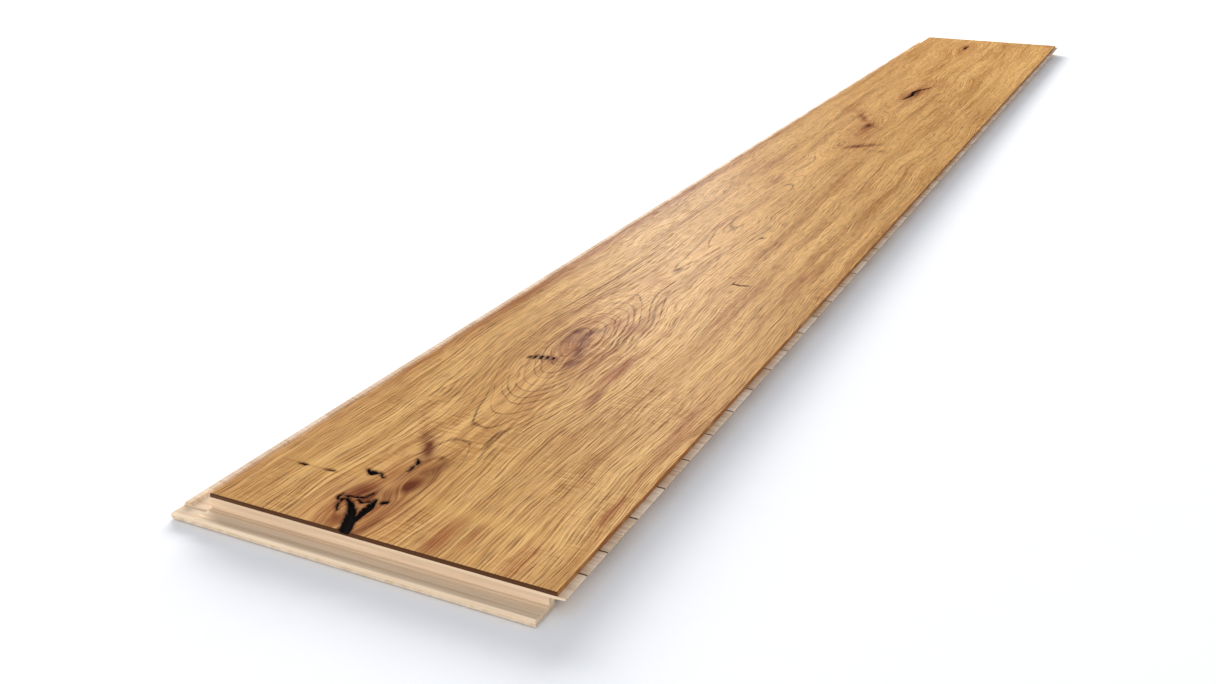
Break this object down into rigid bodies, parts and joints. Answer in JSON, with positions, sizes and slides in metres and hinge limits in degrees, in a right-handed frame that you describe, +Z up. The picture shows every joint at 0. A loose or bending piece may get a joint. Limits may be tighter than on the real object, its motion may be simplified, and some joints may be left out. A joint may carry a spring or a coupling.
{
  "type": "parquet floorboard",
  "caption": "Long engineered-wood floor plank: knotty oak wear layer on a core of crosswise slats with a backing veneer, locking lips on two edges and a tongue on a third.",
  "frame": {"origin": "on the underside, below the centre of the cover face", "axes": "+Y along the board, away from the end with the open locking lip; +X across the board, towards the long edge with the tongue; +Z up out of the oak face"},
  "size_m": [0.2416, 1.874, 0.013],
  "materials": {
    "oak": "matt lacquered rustic oak",
    "core_softwood": "raw milled softwood",
    "end_slat_wood": "raw milled wood",
    "backing_wood": "raw softwood veneer"
  },
  "bodies": {
    "root": {"backing_veneer": "backing_wood", "core_slat_01": "core_softwood", "core_slat_02": "core_softwood", "core_slat_03": "core_softwood", "core_slat_04": "core_softwood", "core_slat_05": "core_softwood", "core_slat_06": "core_softwood", "core_slat_07": "core_softwood", "core_slat_08": "core_softwood", "core_slat_09": "core_softwood", "core_slat_10": "core_softwood", "core_slat_11": "core_softwood", "core_slat_12": "core_softwood", "core_slat_13": "core_softwood", "core_slat_14": "core_softwood", "core_slat_15": "core_softwood", "core_slat_16": "core_softwood", "core_slat_17": "core_softwood", "core_slat_18": "core_softwood", "core_slat_19": "core_softwood", "core_slat_20": "core_softwood", "core_slat_21": "core_softwood", "core_slat_22": "core_softwood", "core_slat_23": "core_softwood", "core_slat_24": "core_softwood", "core_slat_25": "core_softwood", "core_slat_26": "core_softwood", "core_slat_27": "core_softwood", "core_slat_28": "core_softwood", "core_slat_29": "core_softwood", "core_slat_30": "core_softwood", "core_slat_31": "core_softwood", "core_slat_32": "core_softwood", "core_slat_33": "core_softwood", "core_slat_34": "core_softwood", "core_slat_35": "core_softwood", "core_slat_36": "core_softwood", "core_slat_37": "core_softwood", "core_slat_38": "core_softwood", "core_slat_39": "core_softwood", "core_slat_40": "core_softwood", "core_slat_41": "core_softwood", "core_slat_42": "core_softwood", "core_slat_43": "core_softwood", "core_slat_44": "core_softwood", "core_slat_45": "core_softwood", "core_slat_46": "core_softwood", "core_slat_47": "core_softwood", "core_slat_48": "core_softwood", "core_slat_49": "core_softwood", "end_slat_back": "end_slat_wood", "end_slat_front": "end_slat_wood", "oak_face": "oak"}
  },
  "joints": []
}
